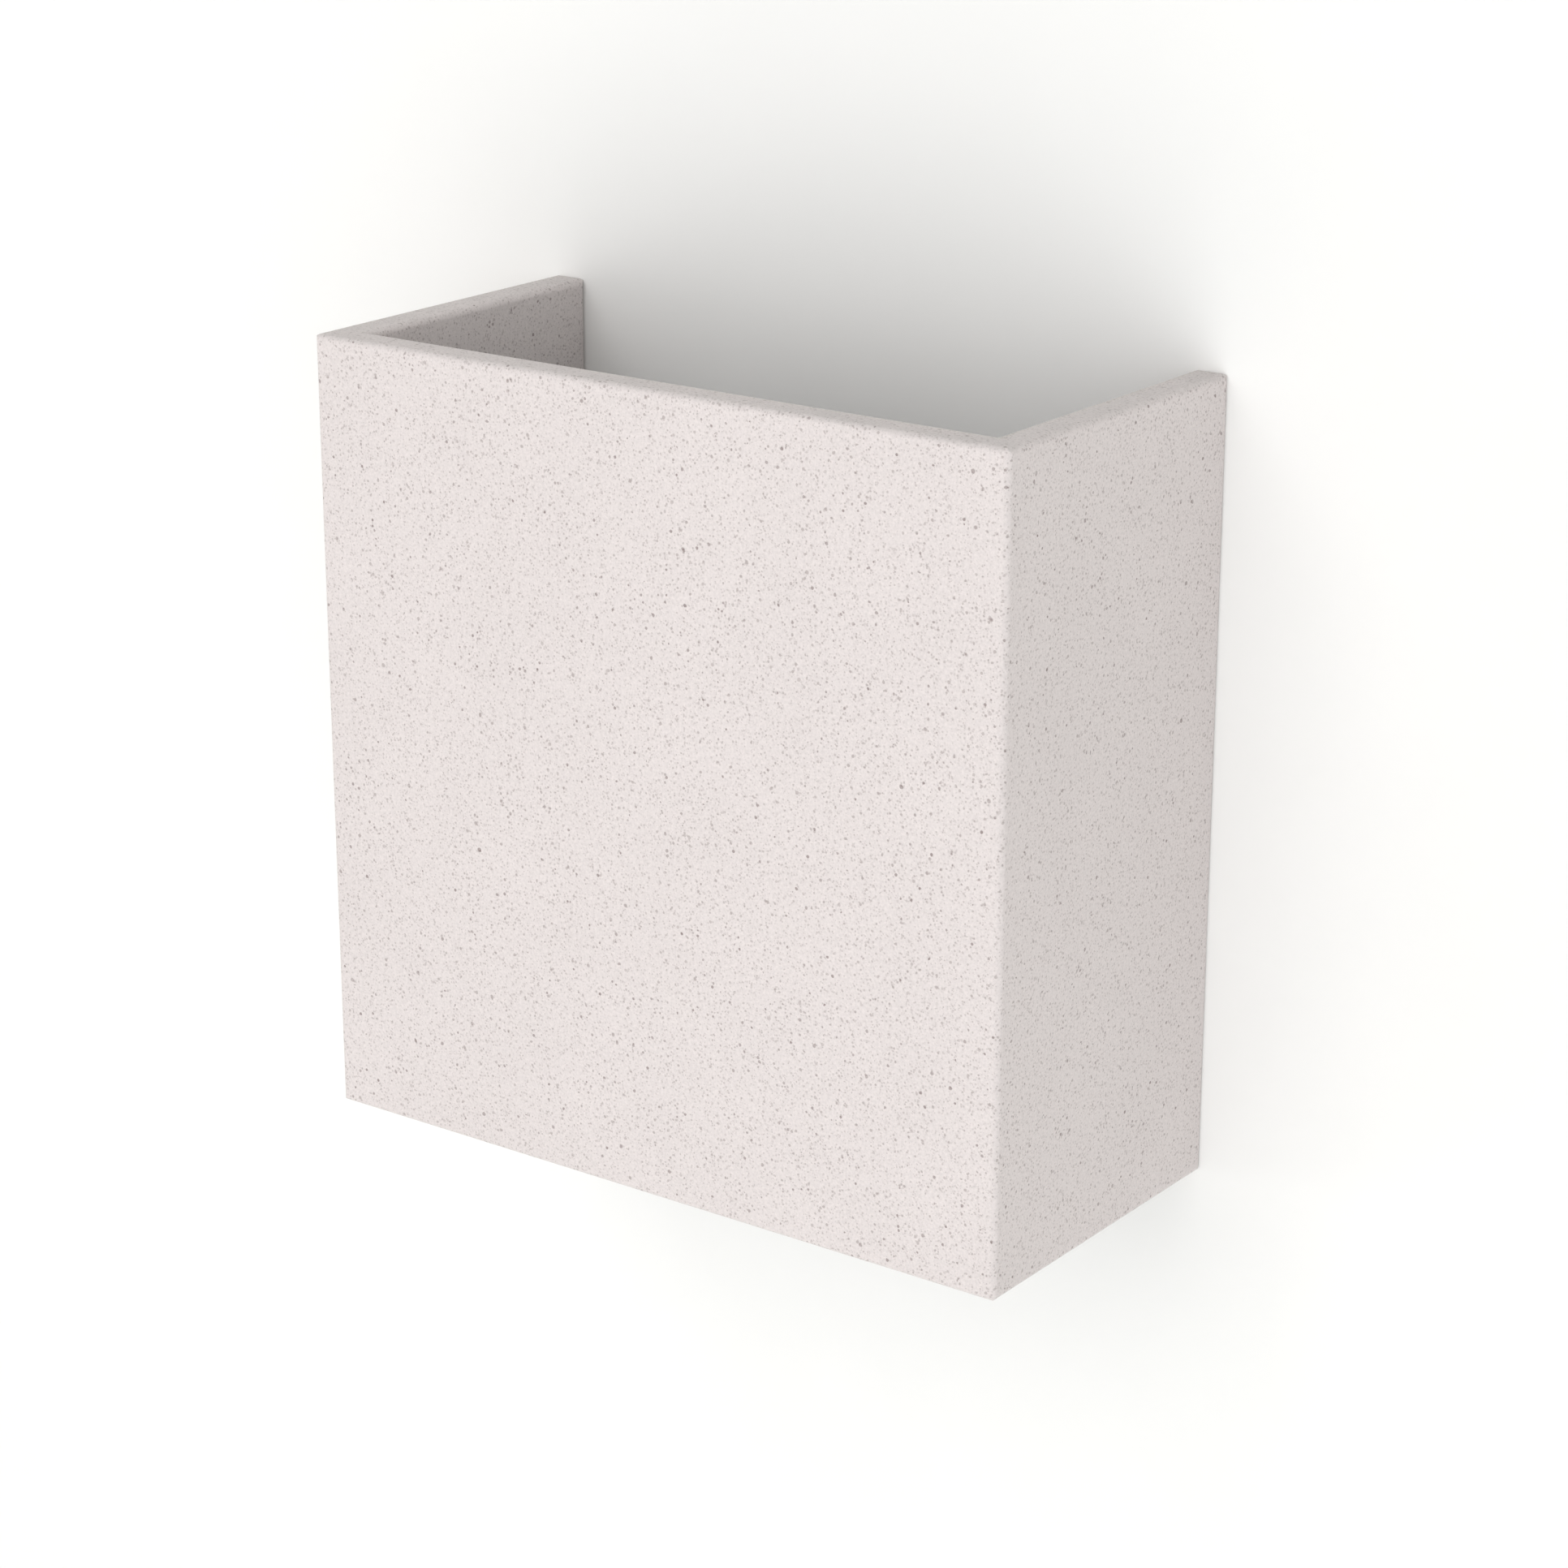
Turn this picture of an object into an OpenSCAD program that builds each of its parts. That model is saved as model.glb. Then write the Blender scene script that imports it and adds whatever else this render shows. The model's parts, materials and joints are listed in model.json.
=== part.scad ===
// Wall-mounted ashtray bin: an open-backed cast-stone shell that hangs on a folded steel wall
// plate and shelf, with a lift-out liner, a hinged perforated ash plate, a folding wire handle
// and a quarter-turn lock under the shelf.
//
// Frame, in millimetres: X to the right seen from the front, Y into the wall, Z up.
// The origin is on the wall plane, at the centre of the four wall fixing holes and of the shell.

/* [Shell] */
// Width of the shell across its front face
shell_w = 260; // [240:5:320]
// Depth of the shell from the wall to its front face
shell_d = 120; // [120:5:160]
// Height of the shell
shell_h = 260; // [240:5:320]
// Thickness of the cast walls
shell_t = 12; // [12:0.5:14]
// Radius on the outer edges of the shell
edge_r = 2; // [1:0.5:3]
// Radius on the edges round the space inside the shell
lip_r = 2.5; // [1:0.5:4]

/* [Liner and ash plate] */
// Depth of the ash plate below the rim of the shell
plate_drop = 43; // [40:1:60]
// Gap between the liner and the inside of the shell, at each side
liner_side_gap = 12; // [12:1:16]
// Gap between the liner and the inside of the shell, at the front
liner_front_gap = 10; // [10:1:14]
// Sheet thickness of the liner
liner_t = 1.2; // [1:0.1:1.5]
// Depth of the dished middle of the ash plate
dish_depth = 4; // [3:0.5:5]
// Diameter of the ash holes
ash_hole_d = 6; // [5:0.5:7]
// Distance between neighbouring ash holes
ash_hole_pitch = 10; // [9:0.5:12]
// Length of the slot that cigarette ends drop through
slot_l = 74; // [50:2:80]
// Width of that slot
slot_w = 18; // [14:1:20]

/* [Wall plate and shelf] */
// Sheet thickness of the wall plate
wall_plate_t = 3; // [2.5:0.5:4]
// Sheet thickness of the shelf
shelf_t = 2.5; // [2:0.5:3]
// Height of the shelf's underside above the lower edge of the shell
shelf_rise = 18; // [16:1:24]
// Height of the rubber buffers that the liner stands on
buffer_h = 10; // [10:1:14]
// Distance between the wall fixing holes, across
fixing_x = 160; // [120:5:180]
// Distance between the wall fixing holes, up and down
fixing_z = 120; // [100:5:140]
// Diameter of the wall fixing holes
fixing_d = 9; // [7:0.5:11]

/* [Wire handle] */
// Diameter of the handle wire
wire_d = 5; // [4:0.5:5]
// Diameter of the soft grip on the handle
grip_d = 8; // [7:0.5:8]
// Length of the soft grip
grip_l = 96; // [60:2:120]

/* [Lock] */
// Diameter of the lock's threaded barrel
barrel_d = 18; // [17:0.5:19]
// Reach of the cam from the lock's axis
cam_reach = 28; // [26:0.5:28]

/* [Hidden] */
$fn = 64;

// Overshoot of a cut past the face that it opens
cut = 1;
// Gap between faces of pieces that move against each other
air = 0.3;
// Radial gap of a turning fit and of a screw in its hole
fit_gap = 0.05;

// Inner faces of the shell
in_x = shell_w / 2 - shell_t;
in_y = -(shell_d - shell_t);
half_h = shell_h / 2;

// Fasteners: M6 button-head screws into bonded inserts, M5 studs and nuts, M4 screws and rivets
m6_r = 2.9;
m6_hole_r = 3.3;
m6_head_r = 5.25;
m6_head_h = 3.3;
m6_dome_r = 6.5;
m6_key = 4;
m6_key_depth = 2;
screw_short = 1;
washer6_r = 6.2;
washer6_t = 1.6;
insert_r = 4.5;
insert_l = 8;
stud_r = 2.5;
stud_head_r = 4;
stud_head_t = 1;
stud_l = 12;
nut5_af = 8;
nut5_t = 4;
washer5_r = 5;
washer5_t = 1;
rivet_r = 2;
rivet_head_r = 3.5;
rivet_head_t = 1.3;
rivet_tail_r = 2.9;
rivet_tail_t = 1;
m4_head_r = 3.8;
m4_head_h = 2.6;
m4_bore_r = 4.2;
m4_key = 2.5;
m4_key_depth = 1.6;

// Straight that is left at the end of a slot whose ends are round
end_flat = 0.1;

// Shelf and wall plate
shelf_low = -half_h + shelf_rise;
shelf_top = shelf_low + shelf_t;
shelf_side_gap = 3;
shelf_half_w = in_x - wall_plate_t - shelf_side_gap;
upstand_h = 26;
bend_r = 2;
flange_reach = 46;
flange_corner_r = 8;
window_x = 45;
window_z = 40;
window_r = 12;
stud_x = [-95, -35, 35, 95];
stud_z = shelf_low + 18;
side_screw_y = -20;
side_screw_z = [shelf_low + 27, -10, 65];
front_screw_x = [-70, 70];
front_screw_z = shelf_low + 14;
drain_slot_x = 44;
drain_slot_w = 8;
drain_slot_l = 36;

// Ash plate, liner and hinge heights
plate_t = 1.5;
plate_top = half_h - plate_drop;
plate_low = plate_top - plate_t;
rim_gap = 2;
liner_top = plate_low - rim_gap;
liner_low = shelf_top + buffer_h;
liner_x = in_x - liner_side_gap;
liner_front = in_y + liner_front_gap;
liner_back = -16;
liner_mid = (liner_front + liner_back) / 2;
liner_corner_r = 8;
hem_h = 8;
weep_x = [-66, 0, 66];
weep_y = [liner_mid - 20, liner_mid + 20];
weep_r = 2.5;
wall_plate_top = plate_top + 1;

// Hinges of the ash plate: leaves riveted to the liner and to the plate
leaf_t = 1.5;
leaf_w = 40;
leaf_drop = 26;
leaf_end = 5;
knuckle_r = 3.5;
knuckle_w = 15.6;
knuckle_gap = 0.3;
knuckle_notch_h = 10;
pin_r = 2;
pin_head_r = 2.8;
pin_head_t = 1.2;
hinge_x = [-60, 60];
hinge_y = liner_back + knuckle_r + air;
hinge_z = plate_top + leaf_t - knuckle_r;
leaf_rivet_dx = 13;
liner_rivet_z = hinge_z - 17;
plate_rivet_y = liner_back - 8;
plate_leaf_back = liner_back - 1.5;

// Ash plate outline, dish, holes on each side of the middle one, and bumpers
plate_x = liner_x - 1.5;
plate_front = liner_front + 1;
plate_back = liner_back - 2;
plate_corner_r = 6;
dish_x = plate_x - 12.5;
dish_front = plate_front + 9;
dish_back = plate_back - 12;
dish_mid = (dish_front + dish_back) / 2;
dish_r = 10;
hole_rows = 2;
hole_columns = 8;
hole_land = 0.9;
bumper_l = 14;
bumper_w = 4;
bumper_x = plate_x - 16.5;
bumper_y = plate_front + 0.1;

// Wire handle: a flat loop that lies tilted up towards the front at rest
pivot_z = liner_top - 15.5;
wire_r = wire_d / 2;
foot_bend_r = 4;
bar_bend_r = 12;
bush_r = 4.5;
bush_flange_r = 6.5;
bush_flange_t = 1.2;
bush_tail = 2;
bush_air = 0.2;
leg_x = liner_x + bush_flange_t + bush_air + foot_bend_r;
bar_y = liner_front - 4.5;
bar_z = plate_top + 20;
leg_run = liner_mid - bar_y;
leg_rise = bar_z - pivot_z;
leg_l = norm([leg_run, leg_rise]);
handle_tilt = atan(leg_rise / leg_run);
wire_end_x = liner_x - 5.4;
clip_r = 5;
clip_t = 1;
clip_x = wire_end_x + 0.8;
fold_angle = 70;

// Pegs that the handle's legs come to rest on: under the legs at the front, behind them at the back
peg_r = 3;
peg_side = wire_r + peg_r + air;
front_peg_along = 20;
back_peg_along = 8;
front_peg = leg_point(handle_tilt, front_peg_along, -peg_side);
back_peg = leg_point(handle_tilt + fold_angle, back_peg_along, peg_side);

// Lock, on a vertical axis under the middle of the liner
barrel_r = barrel_d / 2;
lock_y = liner_mid;
lock_face_r = 11;
lock_face_t = 3;
plug_r = 6;
plug_face_r = 7.5;
plug_face_t = 1.6;
barrel_flat = barrel_r - 1;
barrel_top = shelf_top + 4;
lock_nut_af = 24;
lock_nut_t = 3.5;
cam_t = 2.5;
cam_w = 14;
cam_hub_r = 9;
cam_square = 7;
cam_low = barrel_top + 0.1;
cam_top = cam_low + cam_t;
cam_screw_r = 2;
cam_screw_l = 5.4;
cam_screw_hole_l = 5.8;
cam_head_r = 4.2;
cam_head_t = 2.2;
cam_key_depth = 1.3;
key_side = 7.5;
key_depth = 5;

// Hook under the liner: its foot, its web past the cam's reach, and its lip under the cam
hook_w = 28;
hook_t = 1.5;
hook_web_y = lock_y - cam_reach - 2.5;
hook_foot = 9;
hook_lip = 11;
hook_lip_z = shelf_top + 1.5;

// Liner guides on the wall plate's side flanges
guide_w = 14;
guide_y = -(flange_reach - 2);
guide_mid_y = guide_y + guide_w / 2;
guide_low = liner_low + 10;
guide_high = liner_top - 14;
guide_inner_x = liner_x + 0.4;
guide_outer_x = in_x - wall_plate_t;
guide_lead_t = 2;
guide_lead_h = 10;
guide_screw_z = [guide_low + 20, guide_high - 20];
guide_screw_seat_x = guide_outer_x - 4;
guide_screw_end_x = in_x - 0.5;

// Rubber buffers: a head on the shelf, a neck through it and a barb under it
buffer_x = [-80, 80];
buffer_y = [liner_back - 14, liner_front + 14];
buffer_r = 8;
buffer_chamfer = 1;
buffer_neck_r = 4;
buffer_barb_r = 5.5;
buffer_barb_t = 1.5;
buffer_tip_r = 2.5;
buffer_tip_l = 6;

// ---------------------------------------------------------------- shared shapes

// Rectangle from low to high, [x, y] each, with round corners
module round_rect(low, high, r) {
    size = high - low;
    translate(low + [r, 0]) square([size.x - 2 * r, size.y]);
    translate(low + [0, r]) square([size.x, size.y - 2 * r]);
    for (x = [low.x + r, high.x - r], y = [low.y + r, high.y - r])
        translate([x, y]) circle(r);
}

// Slot through a wall of half thickness half_l, whose lips are rounded: half_w is half its width
module lipped_slot(half_w, half_l, r) {
    square([2 * half_w, 2 * (half_l + cut)], center = true);
    for (sx = [-1, 1], sy = [-1, 1])
        scale([sx, sy])
            translate([half_w, half_l - r])
                difference() {
                    translate([-cut, 0]) square([r + cut, r + cut]);
                    translate([r, 0]) circle(r);
                }
}

// Section of a sheet folded to a U: base on y = 0 .. t, legs up to leg
module u_section(half_w, leg, t, r) {
    difference() {
        round_rect([-half_w, 0], [half_w, leg + 2 * (r + t)], r + t);
        round_rect([-half_w + t, t], [half_w - t, leg + 4 * (r + t)], r);
        translate([-half_w - cut, leg]) square([2 * (half_w + cut), 4 * (r + t)]);
    }
}

// Extrusions along X and Y of a section drawn in [y, z] or [x, z]
module along_x(low, high) {
    translate([low, 0, 0]) rotate([90, 0, 90]) linear_extrude(high - low) children();
}
module along_y(low, high) {
    translate([0, high, 0]) rotate([90, 0, 0]) linear_extrude(high - low) children();
}
module along_z(low, high) {
    translate([0, 0, low]) linear_extrude(high - low) children();
}

// Round bar or bore on one axis
module rod_x(low, high, y, z, r) {
    translate([low, y, z]) rotate([0, 90, 0]) cylinder(h = high - low, r = r);
}
module rod_y(low, high, x, z, r) {
    translate([x, low, z]) rotate([-90, 0, 0]) cylinder(h = high - low, r = r);
}
module rod_z(low, high, x, y, r) {
    translate([x, y, low]) cylinder(h = high - low, r = r);
}

// Hexagonal prism or socket on Z, af across its flats
module hex_z(low, high, af) {
    translate([0, 0, low]) cylinder(h = high - low, r = af / sqrt(3), $fn = 6);
}

// Both sides of the object, as mirror images
module both_sides() {
    children();
    mirror([1, 0, 0]) children();
}

// Lays something drawn along +Z, pointing out of a face, onto a side or front fixing point
module on_side(y, z) {
    translate([in_x, y, z]) rotate([0, -90, 0]) children();
}
module on_front(x, z) {
    translate([x, in_y, z]) rotate([-90, 0, 0]) children();
}

// Every place where the shell takes a screw: through the wall plate, and through the shelf
module at_side_screws() {
    both_sides()
        for (z = side_screw_z) on_side(side_screw_y, z) children();
}
module at_front_screws() {
    for (x = front_screw_x) on_front(x, front_screw_z) children();
}

// ---------------------------------------------------------------- shell

module shell() {
    color("#E9E0DD")
        difference() {
            shell_block();
            shell_void();
            at_side_screws() rod_z(-insert_l, cut, 0, 0, insert_r);
            at_front_screws() rod_z(-insert_l, cut, 0, 0, insert_r);
        }
}

// Solid block with every outer edge rounded
module shell_block() {
    intersection() {
        along_z(-half_h, half_h) round_rect([-shell_w / 2, -shell_d], [shell_w / 2, 0], edge_r);
        along_x(-shell_w / 2, shell_w / 2) round_rect([-shell_d, -half_h], [0, half_h], edge_r);
        along_y(-shell_d, 0) round_rect([-shell_w / 2, -half_h], [shell_w / 2, half_h], edge_r);
    }
}

// Space inside the shell, open at the top, the bottom and the wall, with rounded lips: what lies
// between the side walls and behind the front wall
module shell_void() {
    reach = shell_d + cut;
    intersection() {
        union() {
            along_y(-shell_d, cut) lipped_slot(in_x, half_h, lip_r);
            along_z(-half_h - cut, half_h + cut)
                translate([0, -reach]) lipped_slot(in_x, reach, lip_r);
        }
        along_x(-shell_w, shell_w)
            translate([reach + in_y, 0]) lipped_slot(reach, half_h, lip_r);
    }
}

module shell_inserts() {
    color("#B8965A") {
        at_side_screws() insert();
        at_front_screws() insert();
    }
}

module insert() {
    difference() {
        rod_z(-insert_l, 0, 0, 0, insert_r - fit_gap);
        rod_z(-insert_l - cut, cut, 0, 0, m6_r + fit_gap);
    }
}

module shell_screws() {
    color("#B9BBBC") {
        at_side_screws() button_screw(wall_plate_t + washer6_t);
        at_front_screws() button_screw(shelf_t + washer6_t);
    }
}

// Button-head screw whose head lies at height seat
module button_screw(seat) {
    difference() {
        union() {
            rod_z(-insert_l + screw_short, seat + cut, 0, 0, m6_r);
            translate([0, 0, seat])
                intersection() {
                    cylinder(h = m6_head_h, r = m6_head_r);
                    translate([0, 0, m6_head_h - m6_dome_r]) sphere(m6_dome_r);
                }
        }
        hex_z(seat + m6_head_h - m6_key_depth, seat + m6_head_h + cut, m6_key);
    }
}

module shell_washers() {
    color("#AEB1B3") {
        at_side_screws() washer(wall_plate_t);
        at_front_screws() washer(shelf_t);
    }
}

// Washer whose lower face lies at height seat
module washer(seat) {
    difference() {
        rod_z(seat, seat + washer6_t, 0, 0, washer6_r);
        rod_z(seat - cut, seat + washer6_t + cut, 0, 0, m6_hole_r);
    }
}

// ---------------------------------------------------------------- wall plate and shelf

module wall_plate() {
    color("#A9ADAF")
        difference() {
            intersection() {
                along_z(shelf_low, wall_plate_top)
                    mirror([0, 1]) u_section(in_x, flange_reach, wall_plate_t, bend_r);
                along_x(-in_x, in_x)
                    round_rect(
                        [-flange_reach, shelf_low], [2 * flange_corner_r, wall_plate_top],
                        flange_corner_r
                    );
            }
            for (x = [-1, 1] * fixing_x / 2, z = [-1, 1] * fixing_z / 2)
                rod_y(-wall_plate_t - cut, cut, x, z, fixing_d / 2);
            for (x = stud_x) {
                rod_y(-wall_plate_t - cut, cut, x, stud_z, stud_r + fit_gap);
                rod_y(-stud_head_t, cut, x, stud_z, stud_head_r + fit_gap);
            }
            both_sides() {
                for (z = side_screw_z)
                    rod_x(in_x - wall_plate_t - cut, in_x + cut, side_screw_y, z, m6_hole_r);
                for (z = guide_screw_z)
                    rod_x(guide_outer_x - cut, in_x + cut, guide_mid_y, z, rivet_r + fit_gap);
            }
            lightening_window();
        }
}

// Opening in the middle of the wall plate
module lightening_window() {
    along_y(-wall_plate_t - cut, cut)
        round_rect([-window_x, -window_z], [window_x, window_z], window_r);
}

module shelf() {
    back = -wall_plate_t;
    mid = (in_y + back) / 2;
    color("#A9ADAF")
        difference() {
            along_x(-shelf_half_w, shelf_half_w)
                translate([mid, shelf_low])
                    u_section((back - in_y) / 2, upstand_h, shelf_t, bend_r);
            for (x = stud_x)
                rod_y(back - shelf_t - cut, back + cut, x, stud_z, stud_r + 2 * fit_gap);
            for (x = front_screw_x)
                rod_y(in_y - cut, in_y + shelf_t + cut, x, front_screw_z, m6_hole_r);
            for (x = buffer_x, y = buffer_y)
                rod_z(shelf_low - cut, shelf_top + cut, x, y, buffer_neck_r + 2 * fit_gap);
            along_z(shelf_low - cut, shelf_top + cut)
                translate([0, lock_y]) {
                    for (x = [-1, 1] * drain_slot_x) translate([x, 0]) drain_slot();
                    barrel_outline(2 * fit_gap);
                }
        }
}

// Slot beside the lock, that lets rain out
module drain_slot() {
    half = [drain_slot_w, drain_slot_l] / 2;
    round_rect(-half, half, drain_slot_w / 2 - end_flat);
}

module clinch_studs() {
    color("#B9BBBC")
        for (x = stud_x) {
            rod_y(-stud_head_t, 0, x, stud_z, stud_head_r);
            rod_y(-stud_l, -stud_head_t, x, stud_z, stud_r);
        }
}

module shelf_washers() {
    seat = -wall_plate_t - shelf_t;
    color("#AEB1B3")
        for (x = stud_x)
            difference() {
                rod_y(seat - washer5_t, seat, x, stud_z, washer5_r);
                rod_y(seat - washer5_t - cut, seat + cut, x, stud_z, stud_r + 2 * fit_gap);
            }
}

module shelf_nuts() {
    seat = -wall_plate_t - shelf_t - washer5_t;
    color("#B9BBBC")
        for (x = stud_x)
            translate([x, seat, stud_z])
                rotate([90, 0, 0])
                    difference() {
                        hex_z(0, nut5_t, nut5_af);
                        rod_z(-cut, nut5_t + cut, 0, 0, stud_r + fit_gap);
                    }
}

// ---------------------------------------------------------------- guides and buffers

module liner_guides() {
    color("#E4E4DE")
        both_sides()
            difference() {
                along_y(guide_y, guide_y + guide_w)
                    polygon([
                        [guide_inner_x, guide_low], [guide_outer_x, guide_low],
                        [guide_outer_x, guide_high], [guide_outer_x - guide_lead_t, guide_high],
                        [guide_inner_x, guide_high - guide_lead_h]
                    ]);
                for (z = guide_screw_z) {
                    rod_x(guide_inner_x - cut, guide_outer_x + cut, guide_mid_y, z, rivet_r + fit_gap);
                    rod_x(guide_inner_x - cut, guide_screw_seat_x, guide_mid_y, z, m4_bore_r);
                }
            }
}

module guide_screws() {
    face = guide_screw_seat_x - m4_head_h;
    color("#B9BBBC")
        both_sides()
            for (z = guide_screw_z) {
                difference() {
                    rod_x(face, guide_screw_seat_x, guide_mid_y, z, m4_head_r);
                    translate([face, guide_mid_y, z])
                        rotate([0, 90, 0]) hex_z(-cut, m4_key_depth, m4_key);
                }
                rod_x(guide_screw_seat_x, guide_screw_end_x, guide_mid_y, z, rivet_r);
            }
}

// Rubber buffer pushed through the shelf, revolved about its axis
module rubber_buffers() {
    color("#2B2B2B")
        for (x = buffer_x, y = buffer_y)
            translate([x, y, 0])
                rotate_extrude()
                    polygon([
                        [0, shelf_low - buffer_tip_l], [buffer_tip_r, shelf_low - buffer_tip_l],
                        [buffer_barb_r, shelf_low - buffer_barb_t], [buffer_barb_r, shelf_low],
                        [buffer_neck_r, shelf_low], [buffer_neck_r, shelf_top],
                        [buffer_r, shelf_top], [buffer_r, shelf_top + buffer_h - buffer_chamfer],
                        [buffer_r - buffer_chamfer, shelf_top + buffer_h - air],
                        [0, shelf_top + buffer_h - air]
                    ]);
}

// ---------------------------------------------------------------- lock

// Barrel section with two flats, grown all round by gap
module barrel_outline(gap) {
    intersection() {
        circle(barrel_r + gap);
        square([2 * (barrel_flat + gap), 4 * barrel_r], center = true);
    }
}

module lock_body() {
    color("#C4C6C8")
        translate([0, lock_y, 0])
            difference() {
                union() {
                    rod_z(shelf_low - lock_face_t, shelf_low, 0, 0, lock_face_r);
                    along_z(shelf_low, barrel_top) barrel_outline(0);
                }
                rod_z(shelf_low - lock_face_t - cut, barrel_top + cut, 0, 0, plug_r + fit_gap);
                rod_z(
                    shelf_low - lock_face_t - cut, shelf_low - lock_face_t + plug_face_t + fit_gap,
                    0, 0, plug_face_r + fit_gap
                );
            }
}

module lock_nut() {
    color("#B9BBBC")
        translate([0, lock_y, 0])
            difference() {
                hex_z(shelf_top, shelf_top + lock_nut_t, lock_nut_af);
                rod_z(shelf_top - cut, shelf_top + lock_nut_t + cut, 0, 0, barrel_r + fit_gap);
            }
}

// Turning core: face with a three-sided key recess below, square for the cam above
module lock_plug() {
    face = shelf_low - lock_face_t;
    color("#D0D2D3")
        translate([0, lock_y, 0])
            difference() {
                union() {
                    rod_z(face, face + plug_face_t, 0, 0, plug_face_r);
                    rod_z(face, cam_low, 0, 0, plug_r);
                    along_z(cam_low, cam_top) square(cam_square, center = true);
                }
                translate([0, 0, face - cut])
                    cylinder(h = key_depth + cut, r = key_side / sqrt(3), $fn = 3);
                rod_z(cam_top - cam_screw_hole_l, cam_top + cut, 0, 0, cam_screw_r + fit_gap);
            }
}

module lock_cam() {
    tip_r = cam_w / 2;
    color("#9FA2A4")
        along_z(cam_low, cam_top)
            translate([0, lock_y])
                difference() {
                    union() {
                        circle(cam_hub_r);
                        translate([0, -tip_r]) square([cam_reach - tip_r, cam_w]);
                        translate([cam_reach - tip_r, 0]) circle(tip_r);
                    }
                    square(cam_square + 2 * fit_gap, center = true);
                }
}

module cam_screw() {
    color("#B9BBBC")
        translate([0, lock_y, 0])
            difference() {
                union() {
                    rod_z(cam_top, cam_top + cam_head_t, 0, 0, cam_head_r);
                    rod_z(cam_top - cam_screw_l, cam_top, 0, 0, cam_screw_r);
                }
                hex_z(cam_top + cam_head_t - cam_key_depth, cam_top + cam_head_t + cut, m4_key);
            }
}

// ---------------------------------------------------------------- liner

module liner_outline(inset) {
    round_rect(
        [-liner_x + inset, liner_front + inset], [liner_x - inset, liner_back - inset],
        liner_corner_r - inset
    );
}

module liner() {
    color("#C9CCCE")
        difference() {
            along_z(liner_low, liner_top) liner_outline(0);
            along_z(liner_low + liner_t, liner_top - hem_h) liner_outline(liner_t);
            along_z(liner_top - hem_h - cut, liner_top + cut) liner_outline(2 * liner_t);
            for (x = weep_x, y = weep_y)
                rod_z(liner_low - cut, liner_low + liner_t + cut, x, y, weep_r);
            both_sides() {
                rod_x(liner_x - 2 * liner_t - cut, liner_x + cut, liner_mid, pivot_z, bush_r + fit_gap);
                for (peg = [front_peg, back_peg])
                    rod_x(liner_x - 3 * liner_t, liner_x + cut, peg[0], peg[1], rivet_r + fit_gap);
            }
            at_leaf_rivets()
                rod_y(liner_back - liner_t - cut, liner_back + cut, 0, liner_rivet_z, rivet_r + fit_gap);
        }
}

// Places the rivets of the hinge leaves along X
module at_leaf_rivets() {
    for (x = hinge_x, dx = [-1, 1] * leaf_rivet_dx) translate([x + dx, 0, 0]) children();
}

// Folded hook under the liner, that the cam turns over
module latch_hook() {
    color("#B4B7B9")
        along_x(-hook_w / 2, hook_w / 2)
            polygon([
                [hook_web_y - hook_foot, liner_low], [hook_web_y + hook_t, liner_low],
                [hook_web_y + hook_t, hook_lip_z + hook_t],
                [hook_web_y + hook_lip, hook_lip_z + hook_t],
                [hook_web_y + hook_lip, hook_lip_z], [hook_web_y, hook_lip_z],
                [hook_web_y, liner_low - hook_t], [hook_web_y - hook_foot, liner_low - hook_t]
            ]);
}

module liner_hinge_leaves() {
    color("#C0C3C5")
        for (x = hinge_x)
            difference() {
                union() {
                    translate([x - leaf_w / 2, liner_back, hinge_z - leaf_drop])
                        cube([leaf_w, leaf_t, leaf_drop]);
                    rod_x(x - leaf_w / 2, x + leaf_w / 2, hinge_y, hinge_z, knuckle_r);
                }
                translate([
                    x - knuckle_w / 2 - knuckle_gap, liner_back - cut, hinge_z - knuckle_notch_h / 2
                ])
                    cube([knuckle_w + 2 * knuckle_gap, 2 * knuckle_r + 2 * cut, knuckle_notch_h]);
                rod_x(x - leaf_w, x + leaf_w, hinge_y, hinge_z, pin_r + fit_gap);
                for (dx = [-1, 1] * leaf_rivet_dx)
                    rod_y(
                        liner_back - cut, liner_back + leaf_t + cut,
                        x + dx, liner_rivet_z, rivet_r + fit_gap
                    );
            }
}

module liner_leaf_rivets() {
    head = liner_back + leaf_t;
    tail = liner_back - liner_t;
    color("#B9BBBC")
        at_leaf_rivets() {
            rod_y(head, head + rivet_head_t, 0, liner_rivet_z, rivet_head_r);
            rod_y(tail, head, 0, liner_rivet_z, rivet_r);
            rod_y(tail - rivet_tail_t, tail, 0, liner_rivet_z, rivet_tail_r);
        }
}

module hinge_pins() {
    color("#B9BBBC")
        for (x = hinge_x)
            translate([x, hinge_y, hinge_z]) {
                rod_x(-leaf_w / 2, leaf_w / 2, 0, 0, pin_r);
                both_sides() rod_x(leaf_w / 2, leaf_w / 2 + pin_head_t, 0, 0, pin_head_r);
            }
}

module handle_bushes() {
    color("#E4E4DE")
        both_sides()
            difference() {
                union() {
                    rod_x(liner_x - liner_t - bush_tail, liner_x, liner_mid, pivot_z, bush_r);
                    rod_x(liner_x, liner_x + bush_flange_t, liner_mid, pivot_z, bush_flange_r);
                }
                rod_x(
                    liner_x - liner_t - bush_tail - cut, liner_x + bush_flange_t + cut,
                    liner_mid, pivot_z, wire_r + fit_gap
                );
            }
}

// Point [y, z] on a leg raised by angle: along from its pivot, then side towards the wall
function leg_point(angle, along, side) = [
    liner_mid - along * cos(angle) + side * sin(angle),
    pivot_z + along * sin(angle) + side * cos(angle)
];

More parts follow.
